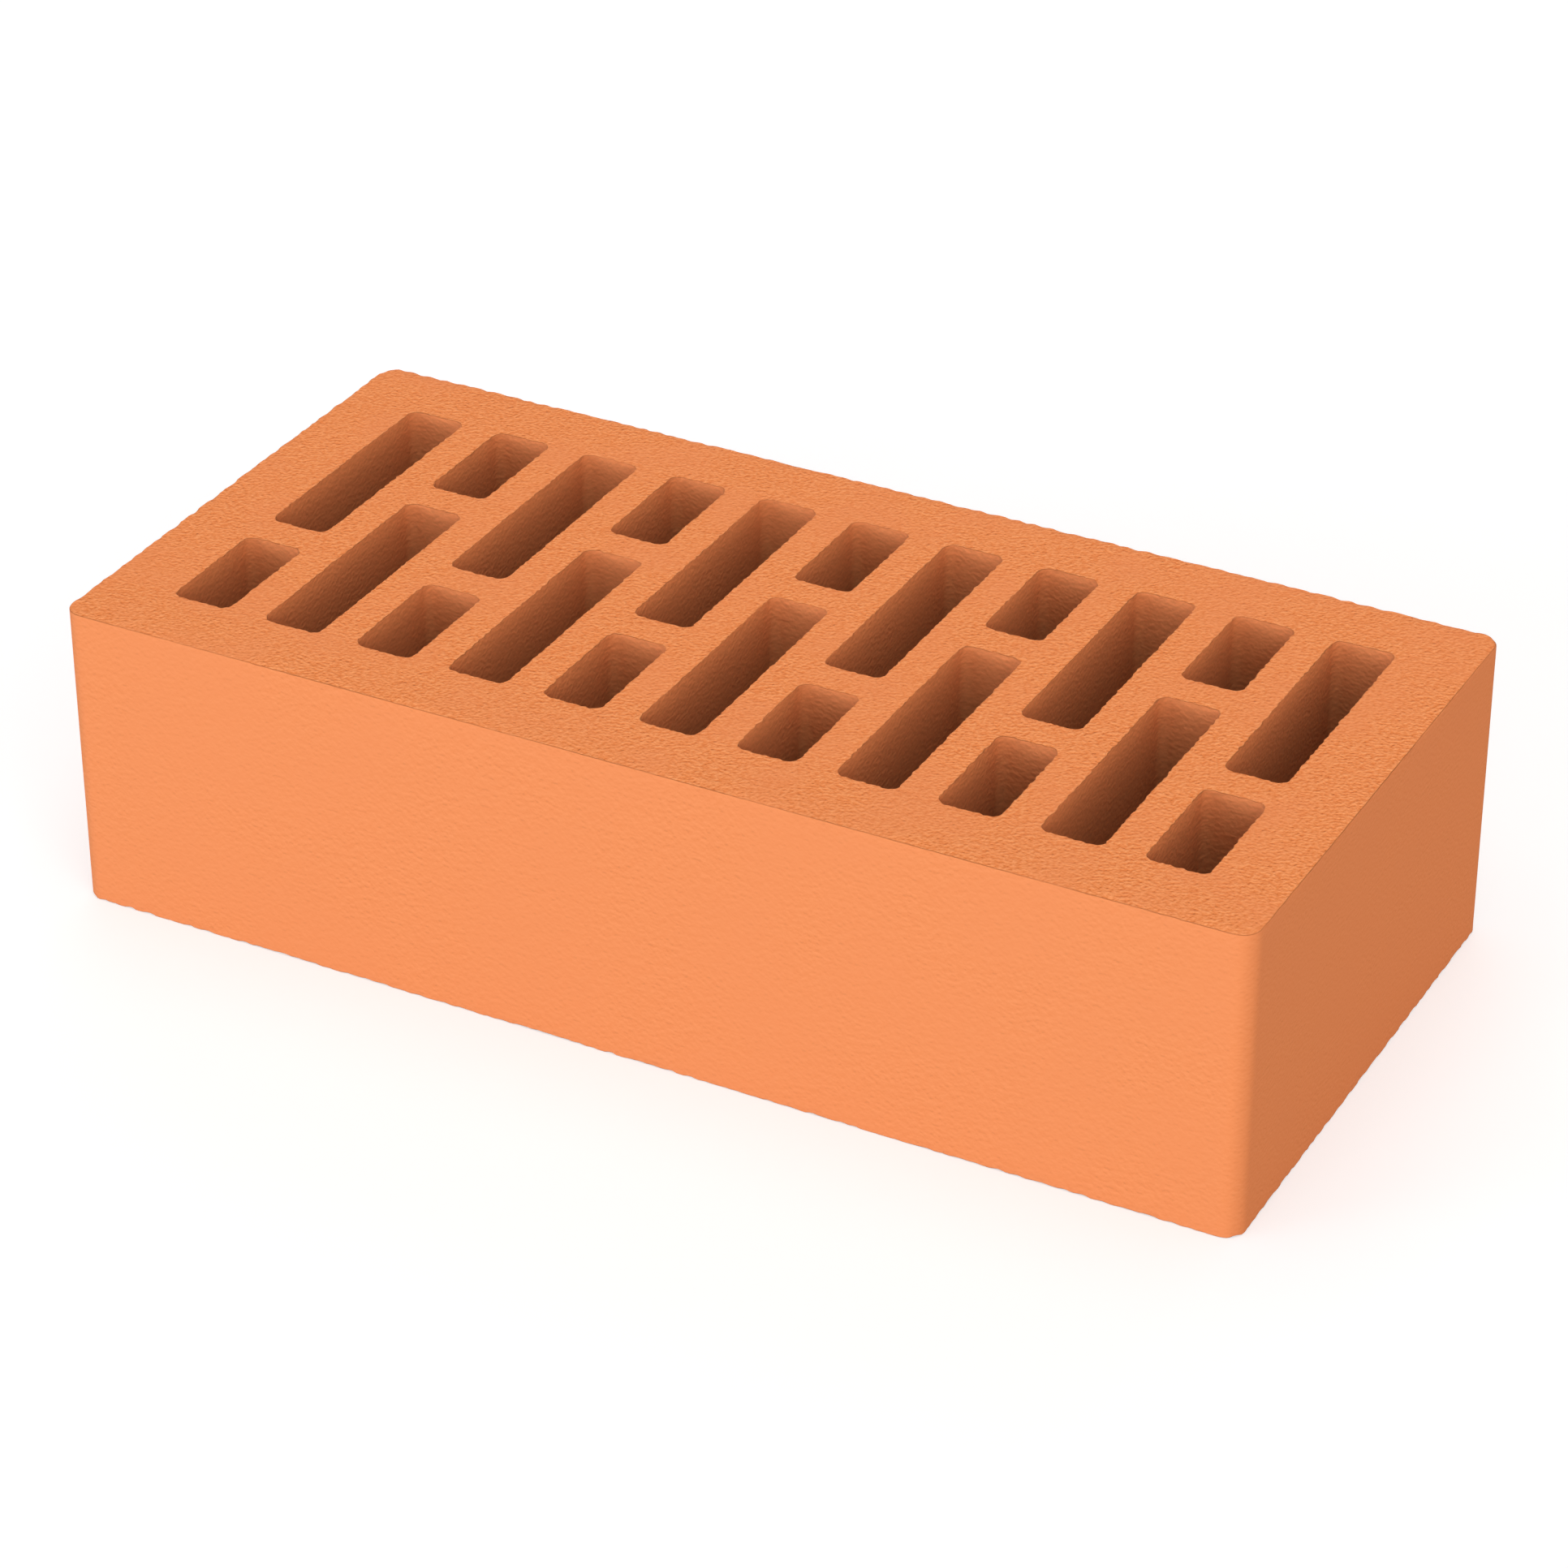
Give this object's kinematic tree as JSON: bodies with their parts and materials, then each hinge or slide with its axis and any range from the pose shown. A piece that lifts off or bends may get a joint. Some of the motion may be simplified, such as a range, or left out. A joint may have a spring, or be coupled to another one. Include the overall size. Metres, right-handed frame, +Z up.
{
  "type": "clay brick",
  "caption": "Perforated clay facing brick with rounded upright corners and staggered long and short slots through its beds.",
  "frame": {"origin": "middle of the lower bed, at the level that the brick lies on", "axes": "+X along the length, +Y from the front stretcher face to the back one, +Z up along the slots; the column nearest each end has its short slot on the -Y side"},
  "size_m": [0.25, 0.12, 0.065],
  "materials": {
    "fired_clay": "matt, smooth on the die-formed sides and fine-grained on the wire-cut beds"
  },
  "bodies": {
    "root": {"clay_brick": "fired_clay"}
  },
  "joints": []
}
